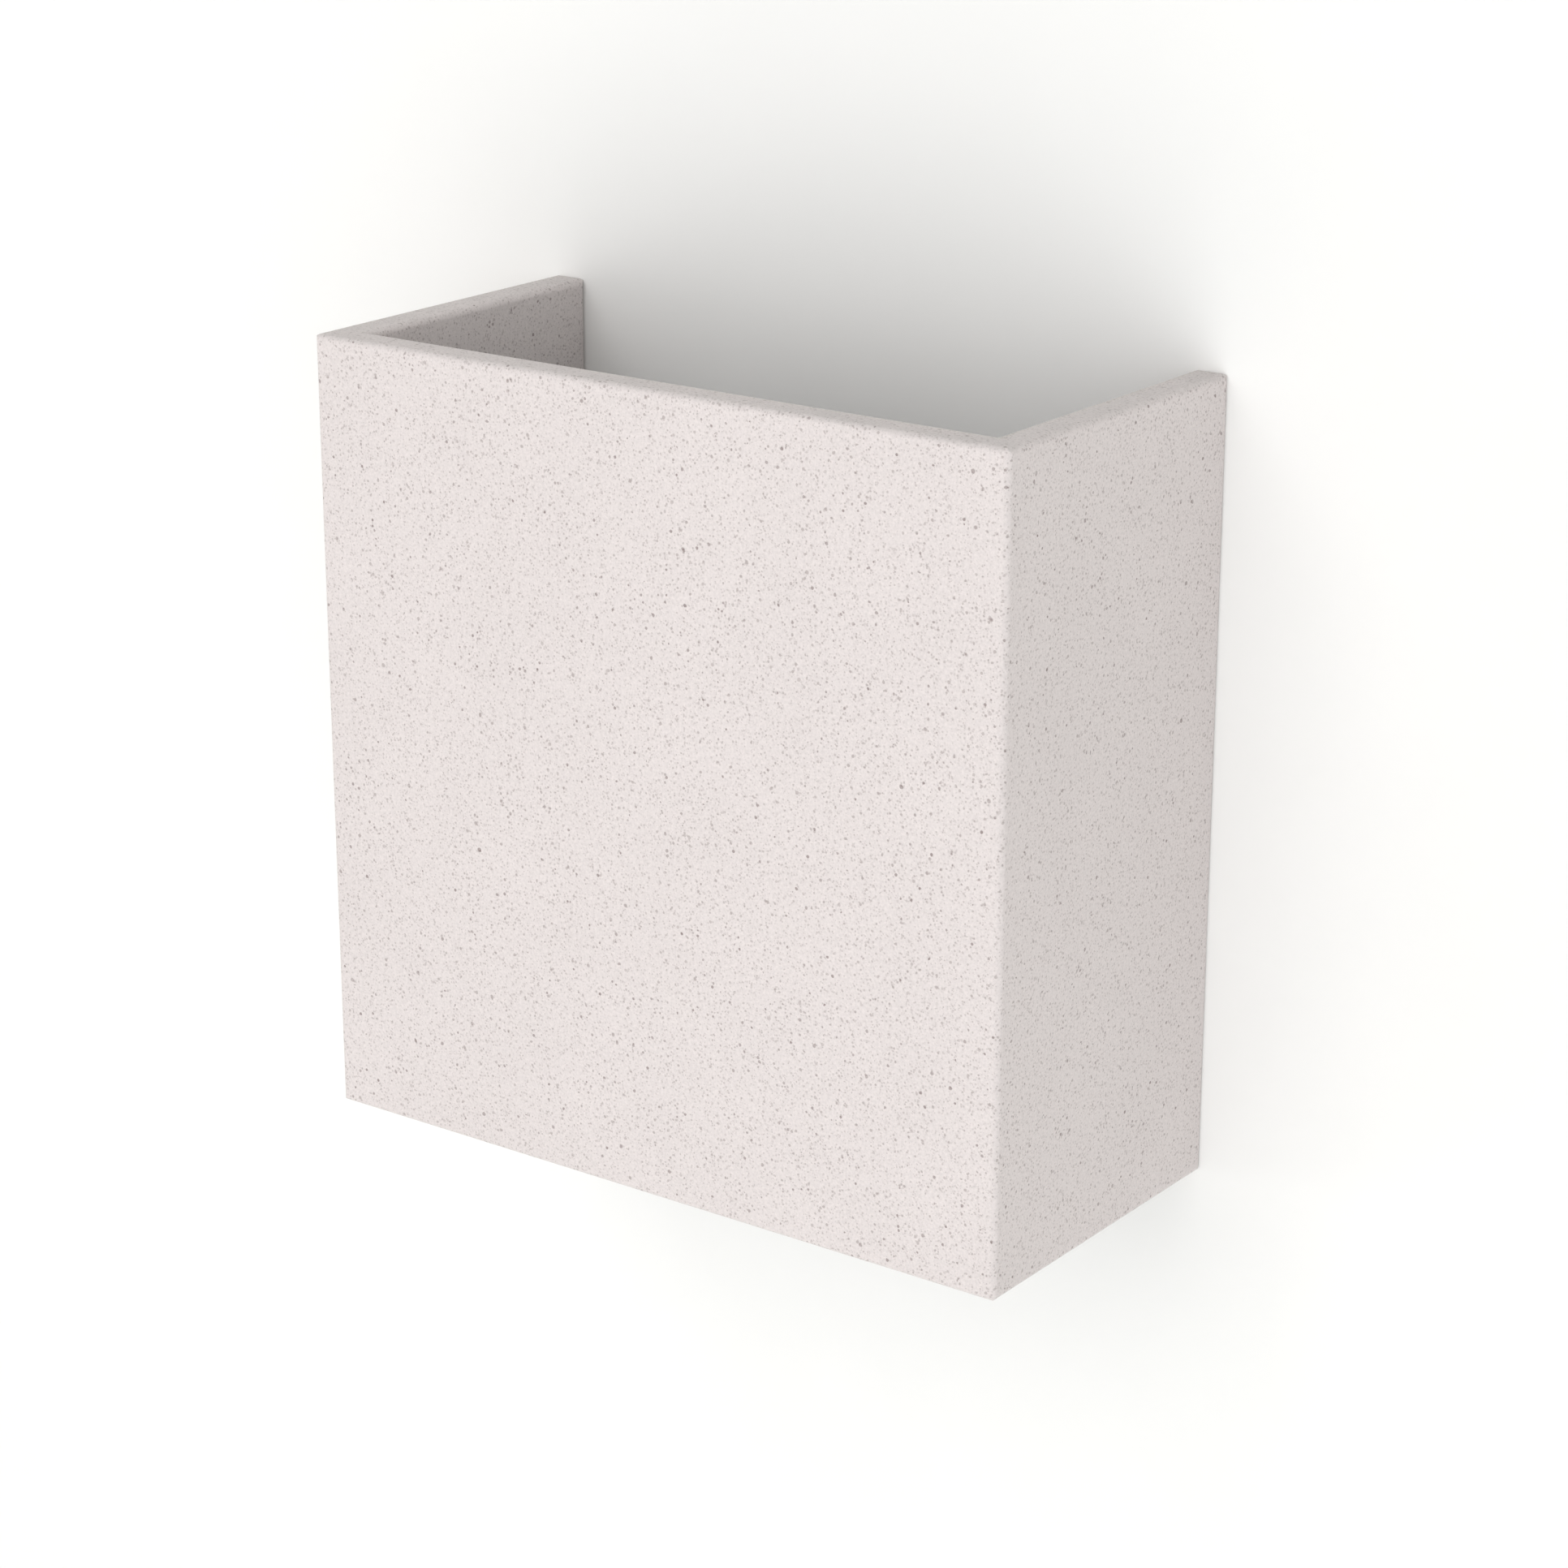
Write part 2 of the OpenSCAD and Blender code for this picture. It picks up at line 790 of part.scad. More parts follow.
module handle_pegs() {
    inner = liner_x - 2 * liner_t;
    color("#B9BBBC")
        both_sides()
            for (peg = [front_peg, back_peg]) {
                rod_x(liner_x, leg_x + wire_r, peg[0], peg[1], peg_r);
                rod_x(inner, liner_x, peg[0], peg[1], rivet_r);
                rod_x(inner - rivet_tail_t, inner, peg[0], peg[1], peg_r);
            }
}

// ---------------------------------------------------------------- ash plate

module ash_plate() {
    dish_low = plate_low - dish_depth;
    color("#CFD1D3")
        difference() {
            union() {
                along_z(plate_low, plate_top)
                    round_rect([-plate_x, plate_front], [plate_x, plate_back], plate_corner_r);
                along_z(dish_low, plate_top) dish_outline(0);
            }
            along_z(dish_low + plate_t, plate_top + cut) dish_outline(plate_t);
            along_z(dish_low - cut, plate_top) slot_outline();
            for (column = [-hole_columns : hole_columns], row = [-hole_rows : hole_rows])
                if (hole_is_clear(column, row))
                    rod_z(
                        dish_low - cut, dish_low + plate_t + cut,
                        column * ash_hole_pitch, dish_mid + row * ash_hole_pitch, ash_hole_d / 2
                    );
            at_leaf_rivets()
                rod_z(plate_low - cut, plate_top + cut, 0, plate_rivet_y, rivet_r + fit_gap);
        }
}

module dish_outline(inset) {
    round_rect(
        [-dish_x + inset, dish_front + inset], [dish_x - inset, dish_back - inset],
        dish_r - inset
    );
}

module slot_outline() {
    round_rect(
        [-slot_l / 2, dish_mid - slot_w / 2], [slot_l / 2, dish_mid + slot_w / 2],
        slot_w / 2 - end_flat
    );
}

// A hole is left out where it would cut into the slot
function hole_is_clear(column, row) =
    abs(row * ash_hole_pitch) > slot_w / 2 + ash_hole_d / 2 + hole_land
    || abs(column * ash_hole_pitch) > slot_l / 2 + ash_hole_d / 2 + hole_land;

module plate_hinge_leaves() {
    front = plate_rivet_y - leaf_end;
    color("#C0C3C5")
        for (x = hinge_x)
            difference() {
                union() {
                    translate([x - leaf_w / 2, front, plate_top])
                        cube([leaf_w, plate_leaf_back - front, leaf_t]);
                    translate([x - knuckle_w / 2, plate_leaf_back - cut, plate_top])
                        cube([knuckle_w, hinge_y - plate_leaf_back + cut, leaf_t]);
                    rod_x(x - knuckle_w / 2, x + knuckle_w / 2, hinge_y, hinge_z, knuckle_r);
                }
                rod_x(x - knuckle_w, x + knuckle_w, hinge_y, hinge_z, pin_r + fit_gap);
                for (dx = [-1, 1] * leaf_rivet_dx)
                    rod_z(
                        plate_top - cut, plate_top + leaf_t + cut,
                        x + dx, plate_rivet_y, rivet_r + fit_gap
                    );
            }
}

module plate_leaf_rivets() {
    head = plate_top + leaf_t;
    color("#B9BBBC")
        at_leaf_rivets() {
            rod_z(head, head + rivet_head_t, 0, plate_rivet_y, rivet_head_r);
            rod_z(plate_low, head, 0, plate_rivet_y, rivet_r);
            rod_z(plate_low - rivet_tail_t, plate_low, 0, plate_rivet_y, rivet_tail_r);
        }
}

// Soft bumpers under the ash plate, over the liner's front rim
module plate_bumpers() {
    color("#2B2B2B")
        for (x = [-1, 1] * bumper_x)
            translate([x - bumper_l / 2, bumper_y, liner_top + air])
                cube([bumper_l, bumper_w, rim_gap - air]);
}

// ---------------------------------------------------------------- wire handle

// Stands the flat handle, drawn with its pivots on X and its legs along -Y, at its rest angle
module in_handle_plane() {
    translate([0, liner_mid, pivot_z]) rotate([-handle_tilt, 0, 0]) children();
}

// Quarter bend of the wire about centre, from the +X side turned by start degrees
module wire_bend(centre, r, start) {
    translate(centre)
        rotate([0, 0, start]) rotate_extrude(angle = 90) translate([r, 0]) circle(wire_r);
}

module wire_handle() {
    color("#BFC2C4")
        in_handle_plane() {
            both_sides() {
                rod_x(wire_end_x, leg_x - foot_bend_r, 0, 0, wire_r);
                wire_bend([leg_x - foot_bend_r, -foot_bend_r, 0], foot_bend_r, 0);
                rod_y(-leg_l + bar_bend_r, -foot_bend_r, leg_x, 0, wire_r);
                wire_bend([leg_x - bar_bend_r, -leg_l + bar_bend_r, 0], bar_bend_r, -90);
            }
            rod_x(-leg_x + bar_bend_r, leg_x - bar_bend_r, -leg_l, 0, wire_r);
        }
}

module handle_clips() {
    color("#9FA2A4")
        in_handle_plane()
            both_sides()
                difference() {
                    rod_x(clip_x, clip_x + clip_t, 0, 0, clip_r);
                    rod_x(clip_x - cut, clip_x + clip_t + cut, 0, 0, wire_r + fit_gap);
                }
}

module handle_grip() {
    color("#3A3C3E")
        in_handle_plane()
            difference() {
                rod_x(-grip_l / 2, grip_l / 2, -leg_l, 0, grip_d / 2);
                rod_x(-grip_l / 2 - cut, grip_l / 2 + cut, -leg_l, 0, wire_r + fit_gap);
            }
}

// ---------------------------------------------------------------- output

shell();
shell_inserts();
wall_plate();
shelf();
clinch_studs();
shelf_washers();
shelf_nuts();
shell_screws();
shell_washers();
liner_guides();
guide_screws();
rubber_buffers();
lock_body();
lock_nut();
lock_plug();
lock_cam();
cam_screw();
liner();
latch_hook();
liner_hinge_leaves();
liner_leaf_rivets();
hinge_pins();
handle_bushes();
handle_pegs();
ash_plate();
plate_hinge_leaves();
plate_leaf_rivets();
plate_bumpers();
wire_handle();
handle_clips();
handle_grip();
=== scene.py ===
"""Wall-mounted ashtray bin: looks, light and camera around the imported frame."""

import json
import math

import bpy
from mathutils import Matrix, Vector


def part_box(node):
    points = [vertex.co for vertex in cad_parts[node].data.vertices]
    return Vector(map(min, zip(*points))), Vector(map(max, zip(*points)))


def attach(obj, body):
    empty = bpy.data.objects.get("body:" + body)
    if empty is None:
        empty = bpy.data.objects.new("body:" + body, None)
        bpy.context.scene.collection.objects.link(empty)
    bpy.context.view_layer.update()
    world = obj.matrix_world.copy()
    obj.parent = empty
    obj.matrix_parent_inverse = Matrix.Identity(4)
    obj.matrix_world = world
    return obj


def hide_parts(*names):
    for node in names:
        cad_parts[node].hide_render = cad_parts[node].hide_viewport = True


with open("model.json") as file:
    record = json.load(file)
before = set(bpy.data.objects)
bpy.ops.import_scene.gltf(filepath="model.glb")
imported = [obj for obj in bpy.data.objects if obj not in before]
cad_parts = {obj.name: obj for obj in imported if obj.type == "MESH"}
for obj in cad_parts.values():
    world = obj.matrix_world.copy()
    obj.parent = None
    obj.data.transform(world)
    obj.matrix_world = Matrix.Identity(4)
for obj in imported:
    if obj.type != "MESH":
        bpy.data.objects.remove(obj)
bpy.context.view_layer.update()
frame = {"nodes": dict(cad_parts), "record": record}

MM = 0.001


# ---------------------------------------------------------------- materials: helpers

EDGE_SAMPLES = 4
# Where most of a noise texture's values lie
MIDDLE = (0.3, 0.7)


class Look:
    """A material being built: its Principled shader and the nodes that feed it.

    Textures are laid out in object coordinates, in metres, so a size in mm here is a size in mm
    on the object, whatever body the piece rides on. Sharp edges catch the light as if they were
    rounded to edge_mm.
    """

    def __init__(self, name, edge_mm=0.0, **sockets):
        self.material = bpy.data.materials.new(name)
        self.material.use_nodes = True
        self.tree = self.material.node_tree
        self.shader = self.tree.nodes["Principled BSDF"]
        for socket, value in sockets.items():
            self.shader.inputs[socket.replace("_", " ")].default_value = value
        coordinates = self.tree.nodes.new("ShaderNodeTexCoord")
        self.position = coordinates.outputs["Object"]
        self.normal = coordinates.outputs["Normal"]
        self.edges = None
        if edge_mm:
            self.edges = self.add(
                "ShaderNodeBevel", {"Radius": edge_mm * MM}, samples=EDGE_SAMPLES
            ).outputs["Normal"]

    def add(self, kind, inputs=(), **settings):
        """A node of that kind. inputs maps a socket's name or number to a value or an output."""
        node = self.tree.nodes.new(kind)
        for name, value in settings.items():
            setattr(node, name, value)
        for socket, value in dict(inputs).items():
            self.feed(node.inputs[socket], value)
        return node

    def feed(self, socket, value):
        if isinstance(value, bpy.types.NodeSocket):
            self.tree.links.new(value, socket)
        else:
            socket.default_value = value

    def set(self, socket, value):
        self.feed(self.shader.inputs[socket], value)

    # Numbers

    def math(self, operation, *values):
        return self.add("ShaderNodeMath", enumerate(values), operation=operation).outputs[0]

    def sum(self, one, other):
        return self.math("ADD", one, other)

    def product(self, one, other):
        return self.math("MULTIPLY", one, other)

    def remap(self, value, span, to=(0, 1), clamp=True):
        """A value that runs over span, made to run over to."""
        return self.add(
            "ShaderNodeMapRange", enumerate([value, *span, *to]), clamp=clamp
        ).outputs[0]

    # Positions and colours

    def vector_math(self, operation, one, other):
        return self.add(
            "ShaderNodeVectorMath", {0: one, 1: other}, operation=operation
        ).outputs["Vector"]

    def stretched(self, factors, source=None):
        """Coordinates multiplied axis by axis."""
        return self.vector_math("MULTIPLY", source or self.position, factors)

    def moved(self, offset, source=None):
        return self.vector_math("ADD", source or self.position, offset)

    def scaled(self, vector, factor):
        """A vector or colour multiplied by a number."""
        return self.add(
            "ShaderNodeVectorMath", {0: vector, "Scale": factor}, operation="SCALE"
        ).outputs["Vector"]

    def mix(self, share, one, other):
        """Colour between one and other, which is all other where share is 1."""
        node = self.add("ShaderNodeMix", {0: share}, data_type="RGBA")
        colour_sockets = [socket for socket in node.inputs if socket.type == "RGBA"]
        self.feed(colour_sockets[0], one)
        self.feed(colour_sockets[1], other)
        return next(socket for socket in node.outputs if socket.type == "RGBA")

    # Textures and relief

    def noise(self, size_mm, detail=3.0, roughness=0.55, at=None, output="Fac"):
        """Noise from 0 to 1 whose largest blotches are about size_mm across."""
        return self.add(
            "ShaderNodeTexNoise",
            {"Vector": at or self.position, "Scale": 1 / (size_mm * MM),
             "Detail": detail, "Roughness": roughness},
        ).outputs[output]

    def streaks(self, per_mm, detail=4.0, roughness=0.7):
        """Noise from 0 to 1 with about that many blotches in each mm of X, Y and Z."""
        return self.noise(1.0, detail, roughness, at=self.stretched(per_mm))

    def relief(self, height, depth_mm, strength, under=None):
        """Surface relief from a height between 0 and 1; under is a finer relief beneath it."""
        inputs = {"Strength": strength, "Distance": depth_mm * MM, "Height": height}
        if under or self.edges:
            inputs["Normal"] = under or self.edges
        return self.add("ShaderNodeBump", inputs).outputs["Normal"]


def random_in_cell(look, cell):
    """Three numbers from 0 to 1 for each cell of a Voronoi texture."""
    dice = look.add("ShaderNodeTexWhiteNoise", {0: cell.outputs["Position"]})
    return look.add("ShaderNodeSeparateColor", {0: dice.outputs["Color"]}).outputs


# ---------------------------------------------------------------- cast stone

STONE_BASE = (0.724, 0.668, 0.659, 1)
# What the stone's colour tends to where a chip is dark
STONE_CHIP = (0.060, 0.004, 0.0, 1)
# Chips of grey aggregate, from the commonest to the rarest kind. Sizes in mm: the cell that may
# hold one chip, the largest chip's radius, the share of cells that hold one, the lowest and the
# highest darkening, and how much shorter the chips are than long.
STONE_CHIPS = [
    (0.80, 0.40, 1.00, (0.05, 0.29), 1.0),
    (1.45, 0.52, 0.90, (0.09, 0.36), 1.0),
    (2.50, 0.58, 0.60, (0.20, 0.57), 1.0),
    (6.00, 0.75, 0.40, (0.30, 0.50), 1.0),
    (1.45, 0.27, 0.60, (0.20, 0.48), 0.4),
]
# Width of a chip's soft edge, and how far its outline strays from round, in mm
CHIP_EDGE = 0.06
CHIP_STRAY = 0.5
# Metres between one kind's pattern and the next one's, so that their cells don't line up
CHIP_SHIFT = Vector((0.31, 0.17, 0.05))
# How light the fine grain and the wide clouds make the stone, at their darkest and lightest
STONE_GRAIN_TONE = (0.89, 1.06)
STONE_CLOUD_TONE = (0.985, 1.012)
# Grey dust with painted shade, laid in patches on upward faces to darken them: its colour, and its
# least and greatest share
STONE_DUST_AND_SHADE = (0.42, 0.42, 0.41, 1)
STONE_DUST_AND_SHADE_SHARE = (0.12, 0.30)


def chips(look, at, cell_mm, radius_mm, share, dark):
    """How much chips cut through by the surface darken each point, from 0 to 1."""
    cell = look.add("ShaderNodeTexVoronoi", {"Vector": at, "Scale": 1 / (cell_mm * MM)})
    dice = random_in_cell(look, cell)
    radius = look.remap(dice[0], (1 - share, 1), (0, radius_mm / cell_mm), clamp=False)
    edge = CHIP_EDGE / cell_mm
    inside = look.remap(look.math("SUBTRACT", radius, cell.outputs["Distance"]), (-edge, edge))
    return look.product(inside, look.remap(dice[1], (0, 1), dark))


def chips_of_all_kinds(look):
    """How light the chips leave each point: 1 between them, less on a dark one."""
    stray = look.vector_math(
        "SUBTRACT", look.noise(size_mm=0.9, detail=2, output="Color"), (0.5, 0.5, 0.5)
    )
    at = look.moved(look.scaled(stray, CHIP_STRAY * MM))
    light = 1.0
    for kind, (cell, radius, share, dark, squeeze) in enumerate(STONE_CHIPS):
        place = look.moved(kind * CHIP_SHIFT, at)
        if squeeze != 1.0:
            place = look.stretched((squeeze, 1.0, squeeze), place)
        layer = chips(look, place, cell, radius, share, dark)
        light = look.product(light, look.math("SUBTRACT", 1.0, layer))
    return light


def cast_stone():
    look = Look("cast_stone_speckled", Specular_IOR_Level=0.25)
    light = chips_of_all_kinds(look)
    chipped = look.mix(look.math("SUBTRACT", 1.0, light), STONE_BASE, STONE_CHIP)

    # Upward faces are darkened in patches: part dust, part painted shade on the top faces
    upward = look.add("ShaderNodeSeparateXYZ", {0: look.normal}).outputs[2]
    patches = look.remap(look.noise(size_mm=18, detail=4, roughness=0.6), MIDDLE, STONE_DUST_AND_SHADE_SHARE)
    dusty_and_shaded = look.mix(look.product(look.remap(upward, (0.4, 0.95)), patches), chipped, STONE_DUST_AND_SHADE)

    clouds = look.remap(look.noise(size_mm=38, detail=4, roughness=0.6), MIDDLE, STONE_CLOUD_TONE)
    grain = look.remap(
        look.noise(size_mm=0.85, detail=2, roughness=0.6), (0.25, 0.75), STONE_GRAIN_TONE
    )
    look.set("Base Color", look.scaled(dusty_and_shaded, look.product(clouds, grain)))
    look.set("Roughness", look.remap(light, (0.5, 1.0), (0.62, 0.82)))

    pores = look.relief(look.noise(size_mm=0.35, roughness=0.65), depth_mm=0.03, strength=0.35)
    pits = look.relief(light, depth_mm=0.10, strength=0.35, under=pores)
    waves = look.noise(size_mm=14, detail=2)
    look.set("Normal", look.relief(waves, depth_mm=0.25, strength=0.25, under=pits))
    return look.material


# ---------------------------------------------------------------- metals

STEEL_TINT = (0.56, 0.565, 0.57)
ZINC_TINT = (0.47, 0.48, 0.49)
ZINC_BLOOM = (0.62, 0.62, 0.61, 1)


def brush_lines(look, across_mm, along_mm):
    """Fine lines that run level round a piece: along Y on its X faces, else along X."""
    fine, long = 1 / (across_mm * MM), 1 / (along_mm * MM)
    facing_x = look.add("ShaderNodeSeparateXYZ", {0: look.normal}).outputs[0]
    on_side = look.math("GREATER_THAN", look.math("ABSOLUTE", facing_x), 0.7)
    runs = [
        look.add("ShaderNodeTexNoise", {
            "Vector": look.stretched(factors), "Scale": 1.0, "Detail": 4.0, "Roughness": 0.65,
        }).outputs["Fac"]
        for factors in ((long, fine, fine), (fine, long, fine))
    ]
    return look.add("ShaderNodeMix", {0: on_side, 2: runs[0], 3: runs[1]}).outputs[0]


def stainless():
    """Brushed sheet with a few smudges and rubbed streaks."""
    look = Look("stainless_brushed", edge_mm=0.5, Metallic=1.0)
    fine = look.product(brush_lines(look, across_mm=0.10, along_mm=24), 0.55)
    coarse = look.product(brush_lines(look, across_mm=0.55, along_mm=60), 0.45)
    lines = look.sum(fine, coarse)
    smudge = look.remap(look.noise(size_mm=26, detail=4, roughness=0.6), (0.42, 0.72))
    rubbed = look.remap(look.streaks(per_mm=(0.10, 0.16, 1.1)), (0.60, 0.70))

    tone = look.product(look.remap(lines, MIDDLE, (0.80, 1.10)),
                        look.remap(smudge, (0, 1), (1.01, 0.95)))
    look.set("Base Color", look.scaled(STEEL_TINT, tone))
    dull = look.sum(look.product(smudge, 0.05), look.product(rubbed, 0.08))
    look.set("Roughness", look.sum(look.remap(lines, MIDDLE, (0.24, 0.40)), dull))
    look.set("Normal", look.relief(lines, depth_mm=0.02, strength=0.6))
    return look.material


def galvanised():
    """Zinc-coated sheet: spangle in facets, run-down streaks and a pale bloom."""
    look = Look("galvanised_steel", edge_mm=0.5, Metallic=1.0)
    at = look.moved(look.scaled(look.noise(size_mm=5, detail=2, output="Color"), 3 * MM))
    spangle = look.add("ShaderNodeTexVoronoi", {"Vector": at, "Scale": 1 / (6 * MM)})
    facet = random_in_cell(look, spangle)
    bloom = look.remap(look.noise(size_mm=30, detail=5, roughness=0.62), (0.45, 0.75))
    streaks = look.streaks(per_mm=(0.9, 0.9, 0.06), detail=3, roughness=0.55)

    tone = look.product(look.remap(facet[0], (0, 1), (0.88, 1.06)),
                        look.remap(streaks, MIDDLE, (0.95, 1.05)))
    look.set("Base Color",
             look.mix(look.product(bloom, 0.35), look.scaled(ZINC_TINT, tone), ZINC_BLOOM))
    look.set("Roughness", look.sum(look.remap(facet[1], (0, 1), (0.34, 0.5)),
                                   look.product(bloom, 0.2)))
    look.set("Normal", look.relief(look.noise(size_mm=0.8), depth_mm=0.03, strength=0.4))
    return look.material


def plated(name, base, roughness, tint):
    """Smooth plated metal with tool marks, a drifting tint and a few scuffs."""
    look = Look(name, edge_mm=0.3, Metallic=1.0)
    drift = look.remap(look.noise(size_mm=6, detail=2), (0.35, 0.65))
    marks = look.noise(size_mm=0.25, roughness=0.7)
    scuffs = look.remap(look.streaks(per_mm=(2.4, 0.4, 0.9)), (0.60, 0.72))

    colour = look.mix(drift, (*base, 1), (*tint, 1))
    look.set("Base Color", look.scaled(colour, look.remap(marks, MIDDLE, (0.93, 1.05))))
    look.set("Roughness", look.sum(
        look.remap(marks, MIDDLE, (roughness - 0.05, roughness + 0.07)),
        look.product(scuffs, 0.18)
    ))
    look.set("Normal", look.relief(marks, depth_mm=0.01, strength=0.4))
    return look.material


# ---------------------------------------------------------------- plastics and rubber

NYLON = (0.76, 0.755, 0.70, 1)
NYLON_SCUFFED = (0.50, 0.49, 0.46, 1)
RUBBER_DUST = (0.30, 0.29, 0.28, 1)


def polyamide():
    """Uncoloured moulded plastic, scuffed up and down by what slides past it."""
    look = Look("polyamide_natural", edge_mm=0.4, Subsurface_Weight=0.08,
                Subsurface_Radius=(1.0, 0.9, 0.75), Subsurface_Scale=1.2 * MM,
                Specular_IOR_Level=0.45)
    scuffs = look.remap(look.streaks(per_mm=(1.5, 1.5, 0.12), roughness=0.65), (0.52, 0.72))
    colour = look.mix(look.product(scuffs, 0.35), NYLON, NYLON_SCUFFED)
    look.set("Base Color",
             look.scaled(colour, look.remap(look.noise(size_mm=9), MIDDLE, (0.96, 1.03))))
    look.set("Roughness", look.remap(scuffs, (0, 1), (0.42, 0.6)))
    texture = look.noise(size_mm=0.3, roughness=0.6)
    look.set("Normal", look.relief(texture, depth_mm=0.02, strength=0.4))
    return look.material


def rubber(name, grey, roughness, dust):
    """Moulded rubber: fine mould texture, and dust that lies in patches."""
    look = Look(name, edge_mm=0.4, Specular_IOR_Level=0.4)
    patches = look.remap(look.noise(size_mm=7, detail=5, roughness=0.65), (0.45, 0.75), (0, dust))
    look.set("Base Color", look.mix(patches, (grey, grey, grey, 1), RUBBER_DUST))
    uneven = look.remap(
        look.noise(size_mm=0.4, detail=2), MIDDLE, (roughness - 0.06, roughness + 0.06)
    )
    look.set("Roughness", look.sum(uneven, look.product(patches, 0.3)))
    texture = look.noise(size_mm=0.22, roughness=0.6)
    look.set("Normal", look.relief(texture, depth_mm=0.025, strength=0.5))
    return look.material


LOOKS = {
    "cast_stone": cast_stone(),
    "galvanised": galvanised(),
    "stainless": stainless(),
    "zinc_plated": plated("zinc_plated", base=(0.60, 0.615, 0.63), roughness=0.24,
                          tint=(0.64, 0.63, 0.57)),
    "brass": plated("brass_machined", base=(0.62, 0.43, 0.17), roughness=0.28,
                    tint=(0.50, 0.33, 0.13)),
    "lock_metal": plated("nickel_satin", base=(0.61, 0.60, 0.57), roughness=0.30,
                         tint=(0.55, 0.54, 0.52)),
    "polyamide": polyamide(),
    "rubber": rubber("rubber_black", grey=0.018, roughness=0.72, dust=0.30),
    "grip_vinyl": rubber("grip_vinyl", grey=0.030, roughness=0.48, dust=0.12),
}


def dress_cad_nodes():
    """Gives every CAD node its finish."""
    for part in frame["record"]["subparts"]:
        slots = frame["nodes"][part["node"]].material_slots
        slots[0].material = LOOKS[part["material_slot"]]


# ---------------------------------------------------------------- soft grip

# Sizes in mm: the grip's wall, the collar at each end, a rib, and how far below the collars a
# rib's crest lies and a groove lies below that crest
GRIP_WALL = 1.45
GRIP_COLLAR = 5
GRIP_RIB = 3
GRIP_CREST_DROP = 0.15
GRIP_GROOVE_DEPTH = 0.5
# Outline of a collar: distance from the grip's end, and how far it lies below its widest part
GRIP_COLLAR_OUTLINE = [
    (0, 0.9), (0.2, 0.4), (0.6, 0.1), (1.2, 0), (3.8, 0), (4.4, 0.1), (4.8, 0.35)
]
# Steps in each rib's outline, and how sharply its grooves are cut
RIB_STEPS = 8
RIB_SHARPNESS = 3
GRIP_SIDES = 64


def lathe_x(name, profile, centre, sides):
    """A closed body of revolution about X: profile lists (x, radius) pairs in metres."""
    verts = []
    faces = []
    for x, radius in profile:
        for k in range(sides):
            turn = 2 * math.pi * k / sides
            verts.append((x, centre.y + radius * math.cos(turn), centre.z + radius * math.sin(turn)))
    rings = len(profile)
    for ring in range(rings):
        following = (ring + 1) % rings
        for k in range(sides):
            k_next = (k + 1) % sides
            faces.append((
                ring * sides + k, ring * sides + k_next,
                following * sides + k_next, following * sides + k,
            ))
    mesh = bpy.data.meshes.new(name)
    mesh.from_pydata(verts, [], faces)
    mesh.update()
    for face in mesh.polygons:
        face.use_smooth = True
    piece = bpy.data.objects.new(name, mesh)
    bpy.context.scene.collection.objects.link(piece)
    return piece


def grip_profile(start, end, outer):
    """The grip's outline from one end to the other, as (x, radius) pairs, bore included."""
    bore = outer - GRIP_WALL * MM
    first_collar = [(start + x * MM, outer - drop * MM) for x, drop in GRIP_COLLAR_OUTLINE]
    last_collar = [(start + end - x, radius) for x, radius in reversed(first_collar)]
    ribbed_length = end - start - 2 * GRIP_COLLAR * MM
    ribs = round(ribbed_length / (GRIP_RIB * MM))
    ribbed = []
    for k in range(ribs * RIB_STEPS + 1):
        groove = abs(math.cos(math.pi * k / RIB_STEPS)) ** RIB_SHARPNESS
        x = start + GRIP_COLLAR * MM + ribbed_length * k / (ribs * RIB_STEPS)
        ribbed.append((x, outer - (GRIP_CREST_DROP + GRIP_GROOVE_DEPTH * groove) * MM))
    return [(start, bore), *first_collar, *ribbed, *last_collar, (end, bore)]


def ribbed_grip():
    """The soft grip: rounded ribs round it, with a plain collar at each end."""
    low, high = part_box("handle_grip")
    profile = grip_profile(low.x, high.x, (high.y - low.y) / 2)
    piece = lathe_x("handle_grip_ribbed", profile, (low + high) / 2, GRIP_SIDES)
    piece.data.materials.append(LOOKS["grip_vinyl"])
    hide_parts("handle_grip")
    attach(piece, "handle")


# ---------------------------------------------------------------- stage

# The wall stands just in front of the plane that the object's back lies in, so that the back
# isn't hidden in it when it is looked at from behind
WALL_Y = -0.3 * MM
WALL_PAINT = (0.92, 0.918, 0.908)
FLOOR_Z = -1.1
FLOOR_PAINT = (0.9, 0.9, 0.89)
STAGE_SIZE = 12.0


def one_sided(name, colour):
    """A matt paint that is clear from behind, so that the object can be looked at from there."""
    look = Look(name, Roughness=0.8, Specular_IOR_Level=0.25)
    tone = look.remap(look.noise(size_mm=60), MIDDLE, (0.995, 1.005))
    look.set("Base Color", look.scaled(colour, tone))
    clear = look.add("ShaderNodeBsdfTransparent").outputs[0]
    behind = look.add("ShaderNodeNewGeometry").outputs["Backfacing"]
    output = look.tree.nodes["Material Output"]
    blend = look.add("ShaderNodeMixShader", {0: behind, 1: look.shader.outputs[0], 2: clear})
    look.feed(output.inputs["Surface"], blend.outputs[0])
    return look.material


def flat_square(name, centre, across, up, material):
    """A square of the stage, spanned by across and up; its front faces across x up."""
    half = STAGE_SIZE / 2
    corners = [centre + across * u * half + up * v * half
               for u, v in ((-1, -1), (1, -1), (1, 1), (-1, 1))]
    mesh = bpy.data.meshes.new(name)
    mesh.from_pydata(corners, [], [(0, 1, 2, 3)])
    mesh.materials.append(material)
    square = bpy.data.objects.new(name, mesh)
    bpy.context.scene.collection.objects.link(square)
    return square


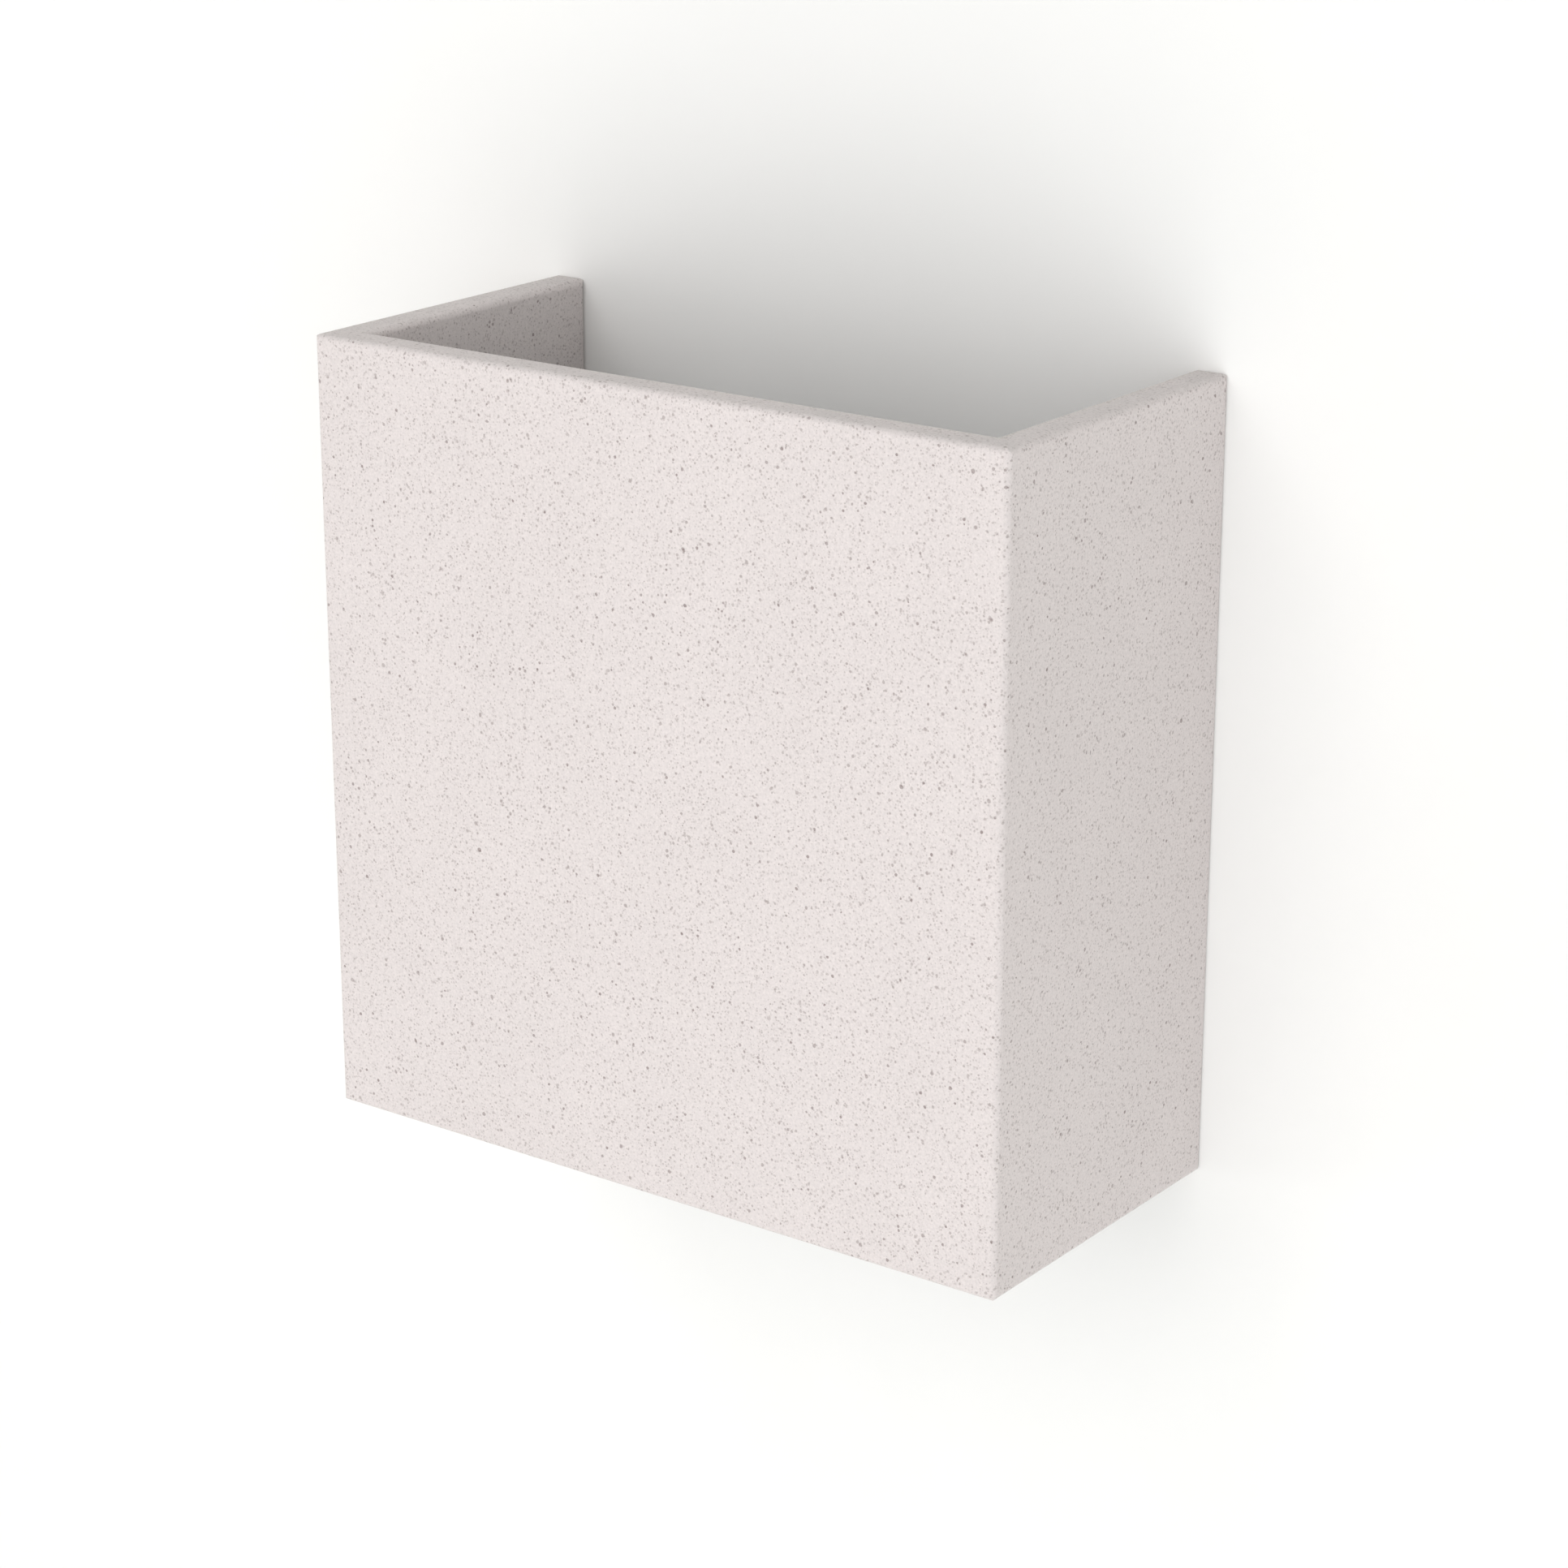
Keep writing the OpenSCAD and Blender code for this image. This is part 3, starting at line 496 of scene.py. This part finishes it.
def build_stage():
    x, y, z = Vector((1, 0, 0)), Vector((0, 1, 0)), Vector((0, 0, 1))
    wall = flat_square("wall", y * WALL_Y, x, z, one_sided("wall_paint", WALL_PAINT))
    # Seen from behind, steel close to the wall would mirror the dark gap between them
    wall.visible_glossy = False
    flat_square("floor", z * FLOOR_Z, x, y, one_sided("floor_paint", FLOOR_PAINT))


# ---------------------------------------------------------------- light

SOFTBOX_DISTANCE = 2.2
WARM = (1.02, 0.99, 0.99)
COOL = (0.985, 1.0, 1.015)
# Azimuth and elevation in degrees, diameter in metres, power in watts, and tint
SOFTBOXES = {
    "key_low_right": (30, -10, 2.2, 20.6, COOL),
    "key_low_left": (-60, -10, 1.4, 7.6, WARM),
    "fill_high_left": (-30, 50, 1.4, 5.4, WARM),
    "fill_front": (0, 20, 1.8, 10.3, WARM),
    "fill_left": (-30, 20, 1.4, 1.3, WARM),
    "back_low": (150, 10, 2.0, 13.4, COOL),
    "back_high": (215, 40, 2.0, 15.7, COOL),
}
ROOM_LIGHT = 0.46
ROOM_TINT = (0.99, 1.01, 0.98, 1)


def direction(azimuth, elevation):
    """Unit vector from the object towards a place that far round it and above it, in degrees."""
    a, e = math.radians(azimuth), math.radians(elevation)
    return Vector((math.sin(a) * math.cos(e), -math.cos(a) * math.cos(e), math.sin(e)))


def aim(thing, at):
    """Turns a light or a camera to look along at."""
    thing.rotation_mode = "QUATERNION"
    thing.rotation_quaternion = at.to_track_quat("-Z", "Y")


def build_light():
    world = bpy.data.worlds.new("room")
    bpy.context.scene.world = world
    world.use_nodes = True
    background = world.node_tree.nodes["Background"]
    background.inputs["Color"].default_value = ROOM_TINT
    background.inputs["Strength"].default_value = ROOM_LIGHT
    for name, (azimuth, elevation, diameter, watts, tint) in SOFTBOXES.items():
        lamp = bpy.data.lights.new(name, "AREA")
        lamp.shape = "DISK"
        lamp.size = diameter
        lamp.energy = watts
        lamp.color = tint
        holder = bpy.data.objects.new(name, lamp)
        bpy.context.scene.collection.objects.link(holder)
        towards = direction(azimuth, elevation)
        holder.location = towards * SOFTBOX_DISTANCE
        aim(holder, -towards)


# ---------------------------------------------------------------- camera

CAMERA_PLACE = Vector((0.70459, -1.00641, 0.38490))
CAMERA_AZIMUTH = 36.33
CAMERA_ELEVATION = 18.47
LENS_MM = 89.94
SENSOR_MM = 36.0


def build_camera():
    lens = bpy.data.cameras.new("camera")
    lens.lens = LENS_MM
    lens.sensor_width = SENSOR_MM
    camera = bpy.data.objects.new("camera", lens)
    bpy.context.scene.collection.objects.link(camera)
    camera.location = CAMERA_PLACE
    aim(camera, -direction(CAMERA_AZIMUTH, CAMERA_ELEVATION))
    bpy.context.scene.camera = camera


def plain_tones():
    """Colours come out as they are, with no film curve."""
    settings = bpy.context.scene.view_settings
    settings.view_transform = "Standard"
    settings.look = "None"


dress_cad_nodes()
ribbed_grip()
build_stage()
build_light()
build_camera()
plain_tones()
